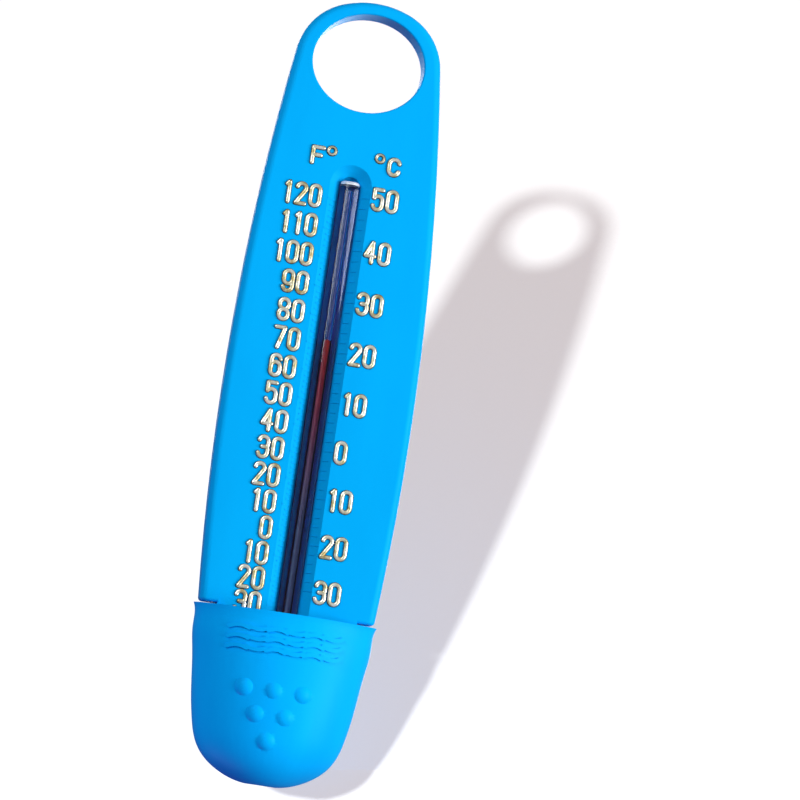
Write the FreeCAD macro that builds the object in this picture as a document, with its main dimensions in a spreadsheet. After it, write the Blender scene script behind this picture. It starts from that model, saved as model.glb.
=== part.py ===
import FreeCAD, Part
import math
import os

import Sketcher
from FreeCAD import Placement, Rotation, Vector

# Floating pool thermometer: a hollow float with a hanging ring, a spirit tube in a channel down
# its face, raised foil numerals, and a scoop cup pushed up over a spigot at the foot.
# Millimetres. +X runs across the face, -Y faces the reader, +Z runs up to the ring.
# The origin is the centre of the hanging hole, midway through the float's thickness.
# A "drop" is a distance below the origin, a "depth" a distance in front of or behind it.

DIMENSIONS = [
    # the float's outline
    ("ring_rise", 20.3, "hole centre to the top of the ring"),
    ("crown_radius", 30.0, "arc over the top of the ring"),
    ("ring_corner_radius", 20.0, "arcs between crown and sides"),
    ("side_radius", 850, "long bowed sides"),
    ("float_half_width", 31.0, "at the widest point"),
    ("widest_drop", 110.4, "level of the widest point"),
    ("shoulder_drop", 179.2, "end of the wide part"),
    ("shoulder_round", 1.2, "edges of the shoulders"),
    ("half_thickness", 5.5, "face and back, each side of the middle"),
    ("parting_depth", 3.3, "joint of shell and cover, behind the middle"),
    ("face_round", 2.6, "front outer edge"),
    ("back_round", 1.6, "back outer edge"),
    ("hole_half_width", 18.2, "oval hanging hole"),
    ("hole_half_height", 16.05, "oval hanging hole"),
    ("hole_round", 0.6, "edges of the hanging hole"),
    # hollow chambers inside the float
    ("wall", 2.0, "side walls"),
    ("face_wall", 1.8, "wall behind the face"),
    ("spine_half_width", 8.8, "solid spine behind the tube channel"),
    ("chamber_top_drop", 23.0, "top of the chambers"),
    ("chamber_floor_drop", 174.0, "floor of the chambers"),
    ("plug_height", 0.8, "locating plugs of the cover"),
    ("plug_gap", 0.15, "plug to chamber wall"),
    # channel for the tube
    ("channel_half_width", 6.8, "at the face"),
    ("channel_top_drop", 40.5, "centre of the rounded top end"),
    ("seat_radius", 3.4, "round seat of the tube"),
    ("tube_depth", 2.4, "tube axis, in front of the middle"),
    # spigot for the cup
    ("spigot_half_width", 22.5, ""),
    ("spigot_back_depth", 3.3, "back of the spigot, behind the middle"),
    ("spigot_drop", 212.4, "foot of the spigot"),
    ("core_outer", 20.3, "cored pockets, outer side"),
    ("core_front", 3.5, "cored pockets, front side"),
    ("core_back", 1.4, "cored pockets, back side"),
    ("core_height", 30.0, ""),
    ("bulb_recess_radius", 4.6, "room for the bulb"),
    ("bulb_recess_height", 14.6, ""),
    # glass tube and spirit
    ("tube_radius", 3.1, ""),
    ("tube_top_drop", 38.9, ""),
    ("tube_end_round", 0.7, ""),
    ("bulb_radius", 4.1, ""),
    ("bulb_top_drop", 200.0, ""),
    ("bulb_foot_drop", 214.0, ""),
    ("bulb_round", 2.6, ""),
    ("bore_radius", 0.95, ""),
    ("bore_top_drop", 41.5, ""),
    ("bulb_wall", 0.8, ""),
    ("spirit_gap", 0.05, "spirit to glass"),
    ("head_gap", 0.1, "moving head to glass"),
    ("head_height", 0.8, "curved top of the column"),
    ("bond_length", 9.0, "adhesive dabs"),
    ("upper_bond_drop", 52.0, "top of the upper dab"),
    ("lower_bond_drop", 186.0, "top of the lower dab"),
    ("bond_half_width", 2.2, ""),
    # ballast
    ("ballast_length", 16.0, ""),
    ("ballast_width", 12.0, ""),
    ("ballast_thickness", 3.2, ""),
    ("ballast_inner", 10.4, "nearest side to the middle"),
    # scale: drop of a mark = scale_start + rate * n - slowing * n * n, n degrees F below 120
    ("scale_start", 45.45, "drop of the 120 degree F mark"),
    ("scale_rate", 0.9692, "mm per degree F at the top"),
    ("scale_slowing", 0.000583, "the bore widens downwards"),
    ("reading", 72.0, "degrees F shown at rest"),
    ("digit_height", 8.0, ""),
    ("digit_width", 4.4, ""),
    ("stroke", 1.5, "width of a numeral's stroke"),
    ("foil_rise", 0.7, "numerals stand out of the face"),
    ("digit_pitch", 4.6, "side by side"),
    ("narrow_pitch", 4.0, "next to a one"),
    ("fahrenheit_edge", 8.7, "right edge of the Fahrenheit numerals"),
    ("celsius_edge", 7.1, "left edge of the Celsius numerals"),
    ("mark_height", 6.6, "letters of the unit marks"),
    ("mark_drop", 32.3, "middle of the unit marks"),
    ("mark_width", 4.8, ""),
    ("fahrenheit_letter", 12.0, "letter F from the middle"),
    ("fahrenheit_degree", 7.6, ""),
    ("celsius_letter", 12.95, "letter C from the middle"),
    ("celsius_degree", 8.1, ""),
    ("degree_drop", 30.2, ""),
    ("degree_radius", 1.25, "middle of the degree ring's stroke"),
    ("degree_stroke", 1.05, ""),
    ("tick_inner", 4.0, "inner end of every tick"),
    ("tick_width", 0.34, ""),
    ("tick_rise", 0.28, ""),
    ("tick_length", 1.7, ""),
    ("long_tick_length", 2.7, "every ten degrees"),
    # scoop cup
    ("cup_rim_drop", 179.8, ""),
    ("cup_gap", 0.05, "running fit on the spigot"),
    ("rail_foot_drop", 212.4, "rails that hold the spigot"),
    ("rail_lip", 2.3, "lip in front of the spigot's edge"),
    ("rail_lip_thickness", 1.8, ""),
    ("stop_width", 4.0, "ribs that stop the spigot"),
    ("stop_inner", 12.0, ""),
    ("stop_height", 7.0, ""),
    ("stop_thickness", 5.0, ""),
    ("dome_radius", 4.4, "ball of each raised dome"),
    ("dome_base", 2.6, "radius of each dome at the skin"),
    ("dome_pitch", 8.4, ""),
    ("dome_row_pitch", 7.7, ""),
    ("dome_drop", 204.4, "top row of domes"),
    ("dome_shift", -1.45, "middle of the rows"),
    ("relief_drop", 188.9, "middle of the raised band"),
    ("relief_rise", 0.6, ""),
    ("relief_half_length", 18.0, ""),
    ("wave_count", 3.0, "crests in each wave line"),
    ("wave_height", 1.5, ""),
    ("wave_width", 1.3, ""),
    ("wave_pitch", 3.2, ""),
]

# Scoop cup sections: drop, half width, back depth behind and front depth in front of the middle.
CUP_SKIN = [
    (179.8, 29.6, 5.5, 16.4),
    (187.0, 28.8, 5.5, 16.7),
    (195.0, 27.8, 5.5, 16.9),
    (203.0, 26.8, 5.5, 16.8),
    (210.0, 25.9, 5.5, 16.5),
    (216.0, 24.8, 5.5, 15.9),
    (221.0, 23.5, 5.5, 15.0),
    (225.0, 21.6, 5.4, 13.6),
    (228.2, 18.9, 5.1, 11.8),
    (230.7, 15.6, 4.6, 9.6),
    (232.5, 12.2, 4.0, 7.3),
    (233.7, 8.9, 3.1, 5.0),
    (234.4, 5.0, 2.1, 2.6),
]
CUP_HOLLOW = [
    (179.2, 27.5, 3.45, 14.3),
    (187.0, 26.6, 3.45, 14.6),
    (195.0, 25.6, 3.45, 14.8),
    (203.0, 24.6, 3.45, 14.7),
    (210.0, 23.4, 3.45, 14.3),
    (215.5, 22.3, 3.45, 13.7),
    (220.0, 20.9, 3.45, 12.7),
    (223.8, 18.9, 3.4, 11.3),
    (226.8, 16.2, 3.2, 9.5),
    (229.2, 12.7, 2.8, 7.3),
    (230.8, 9.0, 2.2, 5.2),
    (231.9, 4.8, 1.5, 3.0),
]

doc = FreeCAD.newDocument("pool_thermometer")
sheet = doc.addObject("Spreadsheet::Sheet", "dims")
for row, (alias, value, note) in enumerate(DIMENSIONS, start=1):
    sheet.set(f"A{row}", alias.replace("_", " "))
    sheet.set(f"B{row}", str(value))
    sheet.setAlias(f"B{row}", alias)
    sheet.set(f"C{row}", note)
for name, sections in (("skin", CUP_SKIN), ("hollow", CUP_HOLLOW)):
    for level, section in enumerate(sections):
        for column, value in zip("EFGH" if name == "skin" else "JKLM", section):
            sheet.set(f"{column}{level + 1}", str(value))
        for column, what in zip("EFGH" if name == "skin" else "JKLM", ("drop", "half", "back", "front")):
            sheet.setAlias(f"{column}{level + 1}", f"{name}_{what}_{level}")
doc.recompute()


def dim(alias):
    """The sheet's value for one alias."""
    return float(sheet.get(alias))


def new_body(label):
    body = doc.addObject("PartDesign::Body", label)
    body.Label = label
    return body


def new_sketch(body, name, plane, offset):
    """A sketch on one of the body's own planes, moved along its normal by an expression."""
    sketch = body.newObject("Sketcher::SketchObject", name)
    support = [f for f in body.Origin.OriginFeatures if f.Role == plane][0]
    sketch.AttachmentSupport = [(support, "")]
    sketch.MapMode = "FlatFace"
    sketch.setExpression("AttachmentOffset.Base.z", offset)
    return sketch


def constrain(sketch, kind, *where, size=None, value=0.0):
    """One constraint, with its size bound to the sheet when an expression is given."""
    if size is None:
        return sketch.addConstraint(Sketcher.Constraint(kind, *where))
    index = sketch.addConstraint(Sketcher.Constraint(kind, *where, value))
    name = f"{kind}_{index}"
    sketch.renameConstraint(index, name)
    sketch.setExpression(f"Constraints.{name}", size)
    return index


def number(expression):
    """The value of an expression on the sheet."""
    found = sheet.evalExpression(expression)
    return float(getattr(found, "Value", found))


def polygon(sketch, corners):
    """A closed outline of straight lines. Each corner is a pair of expressions."""
    points = [Vector(number(x), number(y), 0) for x, y in corners]
    lines = [
        sketch.addGeometry(Part.LineSegment(here, there), False)
        for here, there in zip(points, points[1:] + points[:1])
    ]
    for line, following in zip(lines, lines[1:] + lines[:1]):
        constrain(sketch, "Coincident", line, 2, following, 1)
    for line, point, (x, y) in zip(lines, points, corners):
        constrain(sketch, "DistanceX", -1, 1, line, 1, size=x, value=point.x)
        constrain(sketch, "DistanceY", -1, 1, line, 1, size=y, value=point.y)


def arc(sketch, centre, radius, start, end):
    circle = Part.Circle(centre, Vector(0, 0, 1), radius)
    return sketch.addGeometry(Part.ArcOfCircle(circle, start, end), False)


def direction(centre, point):
    return math.atan2(point.y - centre.y, point.x - centre.x)


def fix_centre(sketch, geometry, x, y):
    """Puts the centre of an arc or circle at a pair of expressions."""
    constrain(sketch, "DistanceX", -1, 1, geometry, 3, size=x, value=number(x))
    constrain(sketch, "DistanceY", -1, 1, geometry, 3, size=y, value=number(y))


def float_outline(sketch):
    """Crown arc, two corner arcs and two bowed sides, all tangent, closed by the shoulder line."""
    crown, corner, side = dim("crown_radius"), dim("ring_corner_radius"), dim("side_radius")
    crown_centre = Vector(0, dim("ring_rise") - crown, 0)
    side_centre = Vector(dim("float_half_width") - side, -dim("widest_drop"), 0)
    # the corner arc's centre lies on two circles, round the crown's and the side's centres
    apart = crown_centre - side_centre
    along = (apart.Length**2 + (side - corner) ** 2 - (crown - corner) ** 2) / (2 * apart.Length)
    beside = math.sqrt((side - corner) ** 2 - along**2)
    unit = apart / apart.Length
    corner_centre = side_centre + unit * along + Vector(-unit.y, unit.x, 0) * beside
    rise = direction(crown_centre, corner_centre)
    lean = direction(side_centre, corner_centre)
    fall = -math.asin((dim("shoulder_drop") - dim("widest_drop")) / side)

    def mirrored(point):
        return Vector(-point.x, point.y, 0)

    right_side = arc(sketch, side_centre, side, fall, lean)
    right_corner = arc(sketch, corner_centre, corner, lean, rise)
    top = arc(sketch, crown_centre, crown, rise, math.pi - rise)
    left_corner = arc(sketch, mirrored(corner_centre), corner, math.pi - rise, math.pi - lean)
    left_side = arc(sketch, mirrored(side_centre), side, math.pi - lean, math.pi - fall)
    right_foot = side_centre + Vector(math.cos(fall), math.sin(fall), 0) * side
    foot = sketch.addGeometry(Part.LineSegment(mirrored(right_foot), right_foot), False)
    chain = [right_side, right_corner, top, left_corner, left_side]
    for here, there in zip(chain, chain[1:]):
        constrain(sketch, "Tangent", here, 2, there, 1)
    constrain(sketch, "Coincident", left_side, 2, foot, 1)
    constrain(sketch, "Coincident", foot, 2, right_side, 1)
    constrain(sketch, "Horizontal", foot)
    constrain(sketch, "DistanceY", foot, 1, -1, 1, size="dims.shoulder_drop", value=dim("shoulder_drop"))
    fix_centre(sketch, top, "0", "dims.ring_rise - dims.crown_radius")
    fix_centre(sketch, right_side, "dims.float_half_width - dims.side_radius", "-dims.widest_drop")
    fix_centre(sketch, left_side, "dims.side_radius - dims.float_half_width", "-dims.widest_drop")
    for geometry, alias in (
        (right_side, "side_radius"),
        (right_corner, "ring_corner_radius"),
        (top, "crown_radius"),
        (left_corner, "ring_corner_radius"),
        (left_side, "side_radius"),
    ):
        constrain(sketch, "Radius", geometry, size=f"dims.{alias}", value=dim(alias))


def hole_outline(sketch):
    """The oval of the hanging hole, centred on the origin."""
    across, upright = dim("hole_half_width"), dim("hole_half_height")
    oval = sketch.addGeometry(
        Part.Ellipse(Vector(across, 0, 0), Vector(0, upright, 0), Vector(0, 0, 0)), False
    )
    sketch.exposeInternalGeometry(oval)
    long_axis, short_axis = oval + 1, oval + 2
    constrain(sketch, "Coincident", oval, 3, -1, 1)
    constrain(sketch, "Horizontal", long_axis)
    constrain(sketch, "Distance", long_axis, size="2 * dims.hole_half_width", value=2 * across)
    constrain(sketch, "Distance", short_axis, size="2 * dims.hole_half_height", value=2 * upright)


def chamber_outline(sketch, inset):
    """One chamber right of the spine, bowed like the side, drawn in by an extra inset."""
    left = f"dims.spine_half_width + {inset}"
    ceiling = f"-dims.chamber_top_drop - {inset}"
    floor = f"-dims.chamber_floor_drop + {inset}"
    radius = f"dims.side_radius - dims.wall - {inset}"
    centre = Vector(dim("float_half_width") - dim("side_radius"), -dim("widest_drop"), 0)
    size = number(radius)
    start = math.asin((number(floor) - centre.y) / size)
    end = math.asin((number(ceiling) - centre.y) / size)
    bowed = arc(sketch, centre, size, start, end)
    high = Vector(centre.x + size * math.cos(end), number(ceiling), 0)
    low = Vector(centre.x + size * math.cos(start), number(floor), 0)
    inner_high = Vector(number(left), number(ceiling), 0)
    inner_low = Vector(number(left), number(floor), 0)
    top = sketch.addGeometry(Part.LineSegment(high, inner_high), False)
    inner = sketch.addGeometry(Part.LineSegment(inner_high, inner_low), False)
    bottom = sketch.addGeometry(Part.LineSegment(inner_low, low), False)
    chain = [bowed, top, inner, bottom]
    for here, there in zip(chain, chain[1:] + chain[:1]):
        constrain(sketch, "Coincident", here, 2, there, 1)
    constrain(sketch, "Horizontal", top)
    constrain(sketch, "Vertical", inner)
    constrain(sketch, "Horizontal", bottom)
    fix_centre(sketch, bowed, "dims.float_half_width - dims.side_radius", "-dims.widest_drop")
    constrain(sketch, "Radius", bowed, size=radius, value=size)
    constrain(sketch, "DistanceX", -1, 1, inner, 1, size=left, value=inner_high.x)
    constrain(sketch, "DistanceY", -1, 1, inner, 1, size=ceiling, value=inner_high.y)
    constrain(sketch, "DistanceY", -1, 1, inner, 2, size=floor, value=inner_low.y)


def channel_corners(sketch):
    """Lines from the face down both slopes to the seat: returns the two seat corners' lines."""
    edge, face = dim("channel_half_width"), -dim("half_thickness")
    seat, axis = dim("seat_radius"), -dim("tube_depth")
    across = sketch.addGeometry(Part.LineSegment(Vector(-edge, face, 0), Vector(edge, face, 0)), False)
    right = sketch.addGeometry(Part.LineSegment(Vector(edge, face, 0), Vector(seat, axis, 0)), False)
    bottom = arc(sketch, Vector(0, axis, 0), seat, 0, math.pi)
    left = sketch.addGeometry(Part.LineSegment(Vector(-seat, axis, 0), Vector(-edge, face, 0)), False)
    chain = [across, right, bottom, left]
    for here, there in zip(chain, chain[1:] + chain[:1]):
        constrain(sketch, "Coincident", here, 2, there, 1)
    for line, x in ((across, "-dims.channel_half_width"), (right, "dims.channel_half_width")):
        constrain(sketch, "DistanceX", -1, 1, line, 1, size=x, value=number(x))
        constrain(
            sketch, "DistanceY", -1, 1, line, 1, size="-dims.half_thickness", value=face
        )
    fix_centre(sketch, bottom, "0", "-dims.tube_depth")
    constrain(sketch, "DistanceX", -1, 1, right, 2, size="dims.seat_radius", value=seat)
    constrain(sketch, "DistanceY", -1, 1, right, 2, size="-dims.tube_depth", value=axis)
    constrain(sketch, "DistanceY", -1, 1, left, 1, size="-dims.tube_depth", value=axis)


def channel_half(sketch):
    """The right half of the channel's section, closed along the middle, for its round top end."""
    edge, face = dim("channel_half_width"), -dim("half_thickness")
    seat, axis = dim("seat_radius"), -dim("tube_depth")
    across = sketch.addGeometry(Part.LineSegment(Vector(0, face, 0), Vector(edge, face, 0)), False)
    slope = sketch.addGeometry(Part.LineSegment(Vector(edge, face, 0), Vector(seat, axis, 0)), False)
    bottom = arc(sketch, Vector(0, axis, 0), seat, 0, math.pi / 2)
    middle = sketch.addGeometry(Part.LineSegment(Vector(0, axis + seat, 0), Vector(0, face, 0)), False)
    chain = [across, slope, bottom, middle]
    for here, there in zip(chain, chain[1:] + chain[:1]):
        constrain(sketch, "Coincident", here, 2, there, 1)
    constrain(sketch, "Vertical", middle)
    constrain(sketch, "Horizontal", across)
    constrain(sketch, "DistanceX", -1, 1, middle, 2, size="0")
    constrain(sketch, "DistanceY", -1, 1, across, 2, size="-dims.half_thickness", value=face)
    constrain(sketch, "DistanceX", -1, 1, across, 2, size="dims.channel_half_width", value=edge)
    fix_centre(sketch, bottom, "0", "-dims.tube_depth")
    constrain(sketch, "DistanceX", -1, 1, slope, 2, size="dims.seat_radius", value=seat)
    constrain(sketch, "DistanceY", -1, 1, slope, 2, size="-dims.tube_depth", value=axis)


def rectangle(sketch, left, bottom, right, top):
    polygon(sketch, [(left, bottom), (right, bottom), (right, top), (left, top)])


def extrude(body, kind, name, sketch, length, backwards=False):
    """A Pad along the sketch's normal or a Pocket against it, or the other way round."""
    feature = body.newObject(f"PartDesign::{kind}", name)
    feature.Profile = sketch
    feature.Reversed = backwards
    feature.setExpression("Length", length)
    doc.recompute()
    return feature


def mirror(body, name, feature):
    """The same feature again on the other side of the middle plane."""
    twin = body.newObject("PartDesign::Mirrored", name)
    twin.Originals = [feature]
    twin.MirrorPlane = ([f for f in body.Origin.OriginFeatures if f.Role == "YZ_Plane"][0], [""])
    body.Tip = twin
    doc.recompute()
    return twin


def fillet(body, name, wanted, radius):
    """Rounds those edges of the body so far that a test accepts."""
    base = body.Tip
    edges = [f"Edge{i}" for i, edge in enumerate(base.Shape.Edges, start=1) if wanted(edge)]
    feature = body.newObject("PartDesign::Fillet", name)
    feature.Base = (base, edges)
    feature.setExpression("Radius", radius)
    doc.recompute()
    return feature


def lies_at(edge, y):
    """Whether an edge lies in the plane at depth y."""
    return abs(edge.BoundBox.YMin - y) < 1e-4 and abs(edge.BoundBox.YMax - y) < 1e-4


def is_bowed(edge):
    """Whether an edge is one of the float's outline arcs."""
    radii = [dim(alias) for alias in ("crown_radius", "ring_corner_radius", "side_radius")]
    return edge.Curve.TypeId == "Part::GeomCircle" and any(abs(edge.Curve.Radius - r) < 1e-6 for r in radii)


def at_shoulder(edge):
    """Whether an edge lies in the plane of the shoulders."""
    level = -dim("shoulder_drop")
    return abs(edge.BoundBox.ZMin - level) < 1e-4 and abs(edge.BoundBox.ZMax - level) < 1e-4


def is_oval(edge):
    """Whether an edge runs all the way round the hanging hole."""
    return edge.isClosed()


def build_front_shell():
    """The float's tray: face, ring, walls, spine, tube channel and the cored spigot."""
    body = new_body("front_moulding")
    face = -dim("half_thickness")
    blank = new_sketch(body, "float_outline", "XZ_Plane", "-dims.parting_depth")
    float_outline(blank)
    extrude(body, "Pad", "blank", blank, "dims.half_thickness + dims.parting_depth")
    fillet(body, "face_edge", lambda e: is_bowed(e) and lies_at(e, face), "dims.face_round")
    parting = dim("parting_depth")
    free_edge = lambda e: at_shoulder(e) and not lies_at(e, parting)
    fillet(body, "shoulder_edge", free_edge, "dims.shoulder_round")
    hole = new_sketch(body, "hole_outline", "XZ_Plane", "dims.half_thickness")
    hole_outline(hole)
    extrude(body, "Pocket", "hanging_hole", hole, "dims.half_thickness + dims.parting_depth + 1")
    fillet(body, "hole_edge", lambda e: is_oval(e) and lies_at(e, face), "dims.hole_round")
    chamber = new_sketch(body, "chamber_outline", "XZ_Plane", "-dims.parting_depth")
    chamber_outline(chamber, "0")
    depth = "dims.parting_depth + dims.half_thickness - dims.face_wall"
    right = extrude(body, "Pocket", "chamber", chamber, depth, backwards=True)
    mirror(body, "chambers", right)
    foot = new_sketch(body, "spigot_outline", "XZ_Plane", "-dims.spigot_back_depth")
    rectangle(
        foot,
        "-dims.spigot_half_width",
        "-dims.spigot_drop",
        "dims.spigot_half_width",
        "-dims.shoulder_drop + dims.shoulder_round",
    )
    extrude(body, "Pad", "spigot", foot, "dims.half_thickness + dims.spigot_back_depth")
    core = new_sketch(body, "core_outline", "XY_Plane", "-dims.spigot_drop")
    rectangle(core, "dims.spine_half_width", "-dims.core_front", "dims.core_outer", "dims.core_back")
    right = extrude(body, "Pocket", "core", core, "dims.core_height", backwards=True)
    mirror(body, "cores", right)
    recess = new_sketch(body, "recess_outline", "XY_Plane", "-dims.spigot_drop")
    circle = recess.addGeometry(
        Part.Circle(Vector(0, -dim("tube_depth"), 0), Vector(0, 0, 1), dim("bulb_recess_radius")), False
    )
    fix_centre(recess, circle, "0", "-dims.tube_depth")
    constrain(
        recess, "Radius", circle, size="dims.bulb_recess_radius", value=dim("bulb_recess_radius")
    )
    extrude(body, "Pocket", "bulb_recess", recess, "dims.bulb_recess_height", backwards=True)
    section = new_sketch(body, "channel_section", "XY_Plane", "-dims.channel_top_drop")
    channel_corners(section)
    extrude(body, "Pocket", "channel", section, "dims.spigot_drop - dims.channel_top_drop + 1")
    half = new_sketch(body, "channel_half", "XY_Plane", "-dims.channel_top_drop")
    channel_half(half)
    end = body.newObject("PartDesign::Groove", "channel_end")
    end.Profile = half
    end.ReferenceAxis = (half, ["V_Axis"])
    end.Angle = 360
    doc.recompute()
    return body


def build_rear_cover():
    """The float's back with the ring's other half, and a plug that locates in each chamber."""
    body = new_body("rear_cover")
    back = dim("half_thickness")
    blank = new_sketch(body, "float_outline", "XZ_Plane", "-dims.half_thickness")
    float_outline(blank)
    extrude(body, "Pad", "blank", blank, "dims.half_thickness - dims.parting_depth")
    fillet(body, "back_edge", lambda e: is_bowed(e) and lies_at(e, back), "dims.back_round")
    parting = dim("parting_depth")
    free_edge = lambda e: at_shoulder(e) and not lies_at(e, parting)
    fillet(body, "shoulder_edge", free_edge, "dims.shoulder_round")
    hole = new_sketch(body, "hole_outline", "XZ_Plane", "-dims.parting_depth")
    hole_outline(hole)
    extrude(body, "Pocket", "hanging_hole", hole, "dims.half_thickness")
    fillet(body, "hole_edge", lambda e: is_oval(e) and lies_at(e, back), "dims.hole_round")
    plug = new_sketch(body, "plug_outline", "XZ_Plane", "-dims.parting_depth")
    chamber_outline(plug, "dims.plug_gap")
    right = extrude(body, "Pad", "plug", plug, "dims.plug_height")
    mirror(body, "plugs", right)
    return body


def slope_depth(x):
    """Depth in front of the middle of the channel's slope, at a distance from the middle."""
    run = dim("channel_half_width") - dim("seat_radius")
    rise = dim("half_thickness") - dim("tube_depth")
    return dim("tube_depth") + (x - dim("seat_radius")) * rise / run


def mark_level(fahrenheit):
    """Height of a temperature on the scale."""
    below = 120 - fahrenheit
    return -(dim("scale_start") + dim("scale_rate") * below - dim("scale_slowing") * below**2)


def tick(side, level, length):
    """A moulded rib that lies on one slope of the channel."""
    near = dim("tick_inner")
    far = near + length
    rise = dim("tick_rise")
    section = [
        Vector(side * near, -slope_depth(near) + rise, level),
        Vector(side * far, -slope_depth(far) + rise, level),
        Vector(side * far, -slope_depth(far) - rise, level),
        Vector(side * near, -slope_depth(near) - rise, level),
    ]
    rib = Part.Face(Part.makePolygon(section + section[:1])).extrude(Vector(0, 0, dim("tick_width")))
    return rib.translated(Vector(0, 0, -dim("tick_width") / 2))


def build_ticks():
    """All the graduation ribs: every two degrees, longer at the tens."""
    ribs = []
    for fahrenheit in range(-30, 121, 2):
        length = dim("long_tick_length") if fahrenheit % 10 == 0 else dim("tick_length")
        ribs.append(tick(-1, mark_level(fahrenheit), length))
    for celsius in range(-30, 51, 2):
        length = dim("long_tick_length") if celsius % 10 == 0 else dim("tick_length")
        ribs.append(tick(1, mark_level(celsius * 1.8 + 32), length))
    ticks = doc.addObject("Part::Feature", "graduations")
    ticks.Shape = Part.makeCompound(ribs)
    return ticks


def build_fuse(label, parts):
    fused = doc.addObject("Part::MultiFuse", label)
    fused.Label = label
    fused.Shapes = parts
    doc.recompute()
    return fused


def build_cut(label, base, tool):
    cut = doc.addObject("Part::Cut", label)
    cut.Label = label
    cut.Base = base
    cut.Tool = tool
    doc.recompute()
    return cut


def build_common(label, base, tool):
    common = doc.addObject("Part::Common", label)
    common.Label = label
    common.Base = base
    common.Tool = tool
    doc.recompute()
    return common


def cup_section(body, name, level, grow):
    """One level of the scoop cup: a straight back, two corner arcs and a three-arc bulged front."""
    prefix = f"dims.{name}"
    half = f"{prefix}_half_{level} + {grow}"
    back = f"{prefix}_back_{level}"
    front = f"{prefix}_front_{level} + {grow}"
    corner = f"(({back}) + ({front})) / 5"
    rise = f"(({front}) + ({back}) - {corner})"
    cheek = f"({rise} * 0.55)"
    bow = f"((({half})^2 + {rise}^2 - 2 * ({half}) * {cheek}) / (2 * ({rise} - {cheek})))"
    turning = f"({back}) - {corner}"
    sketch = new_sketch(body, f"{name}_section_{level}", "XY_Plane", f"-{prefix}_drop_{level}")
    wide, rear, small, arch = number(half), number(back), number(corner), number(bow)
    side, turn = number(cheek), number(turning)
    straight = wide - small
    left_cheek, right_cheek = Vector(side - wide, turn, 0), Vector(wide - side, turn, 0)
    middle = Vector(0, arch - number(front), 0)
    lean = direction(middle, right_cheek)
    line = sketch.addGeometry(
        Part.LineSegment(Vector(straight, rear, 0), Vector(-straight, rear, 0)), False
    )
    left_corner = arc(sketch, Vector(-straight, turn, 0), small, math.pi / 2, math.pi)
    left = arc(sketch, left_cheek, side, -math.pi, -math.pi - lean)
    bulge = arc(sketch, middle, arch, -math.pi - lean, lean)
    right = arc(sketch, right_cheek, side, lean, 0)
    right_corner = arc(sketch, Vector(straight, turn, 0), small, 0, math.pi / 2)
    chain = [line, left_corner, left, bulge, right, right_corner]
    for here, there in zip(chain, chain[1:] + chain[:1]):
        constrain(sketch, "Tangent", here, 2, there, 1)
    constrain(sketch, "Horizontal", line)
    constrain(sketch, "DistanceY", -1, 1, line, 1, size=back, value=rear)
    fix_centre(sketch, left, f"{cheek} - ({half})", turning)
    fix_centre(sketch, right, f"({half}) - {cheek}", turning)
    for geometry, size in (
        (left_corner, corner),
        (right_corner, corner),
        (left, cheek),
        (right, cheek),
        (bulge, bow),
    ):
        constrain(sketch, "Radius", geometry, size=size, value=number(size))
    return sketch


def build_cup_loft(label, name, levels, grow="0"):
    """A smooth solid through one set of the cup's sections."""
    body = new_body(label)
    sections = [cup_section(body, name, level, grow) for level in range(levels)]
    loft = body.newObject("PartDesign::AdditiveLoft", "loft")
    loft.Profile = sections[0]
    loft.Sections = sections[1:]
    loft.Ruled = False
    doc.recompute()
    return body


def build_box(label, low, high):
    """A box between two corners given as expressions."""
    solid = doc.addObject("Part::Box", label)
    for axis, size, start, end in zip("xyz", ("Length", "Width", "Height"), low, high):
        solid.setExpression(f"Placement.Base.{axis}", start)
        solid.setExpression(size, f"({end}) - ({start})")
    return solid


def build_cup():
    """The scoop cup: bulged skin, hollow, raised domes and waves, and rails that hold the spigot."""
    skin = build_cup_loft("cup_skin", "skin", len(CUP_SKIN))
    hollow = build_cup_loft("cup_hollow", "hollow", len(CUP_HOLLOW))
    raised_skin = build_cup_loft("cup_raised_skin", "skin", len(CUP_SKIN), "dims.relief_rise")
    relief = build_common("cup_relief", raised_skin, build_waves())
    outside = build_fuse("cup_outside", [skin, relief] + build_domes(skin))
    shell = build_cut("cup_shell", outside, hollow)
    inner = "dims.spigot_half_width - dims.rail_lip"
    front = "-dims.half_thickness - dims.cup_gap - dims.rail_lip_thickness"
    right_rail = build_box(
        "right_rail",
        (inner, front, "-dims.rail_foot_drop"),
        ("40", "dims.half_thickness", "-dims.cup_rim_drop"),
    )
    left_rail = build_box(
        "left_rail",
        ("-40", front, "-dims.rail_foot_drop"),
        (f"-({inner})", "dims.half_thickness", "-dims.cup_rim_drop"),
    )
    stops = [
        build_box(
            f"{side}_stop",
            (x, "dims.spigot_back_depth - dims.stop_thickness", "-dims.spigot_drop - dims.stop_height"),
            (f"({x}) + dims.stop_width", "dims.half_thickness", "-dims.spigot_drop - dims.cup_gap"),
        )
        for side, x in (("right", "dims.stop_inner"), ("left", "-dims.stop_inner - dims.stop_width"))
    ]
    ribs = build_common("cup_ribs", build_fuse("cup_rib_blanks", [right_rail, left_rail] + stops), skin)
    socket = build_box(
        "socket",
        (
            "-dims.spigot_half_width - dims.cup_gap",
            "-dims.half_thickness - dims.cup_gap",
            "-dims.spigot_drop - dims.cup_gap",
        ),
        (
            "dims.spigot_half_width + dims.cup_gap",
            "dims.spigot_back_depth + dims.cup_gap",
            "-dims.shoulder_drop",
        ),
    )
    return build_cut("scoop_cup", build_fuse("cup_with_ribs", [shell, ribs]), socket)


def skin_depth(skin, x, z):
    """Depth of the cup's skin in front of the middle, straight ahead of a point."""
    ray = Part.makeLine(Vector(x, 0, z), Vector(x, -40, z))
    return -skin.Shape.common(ray).BoundBox.YMin


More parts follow.
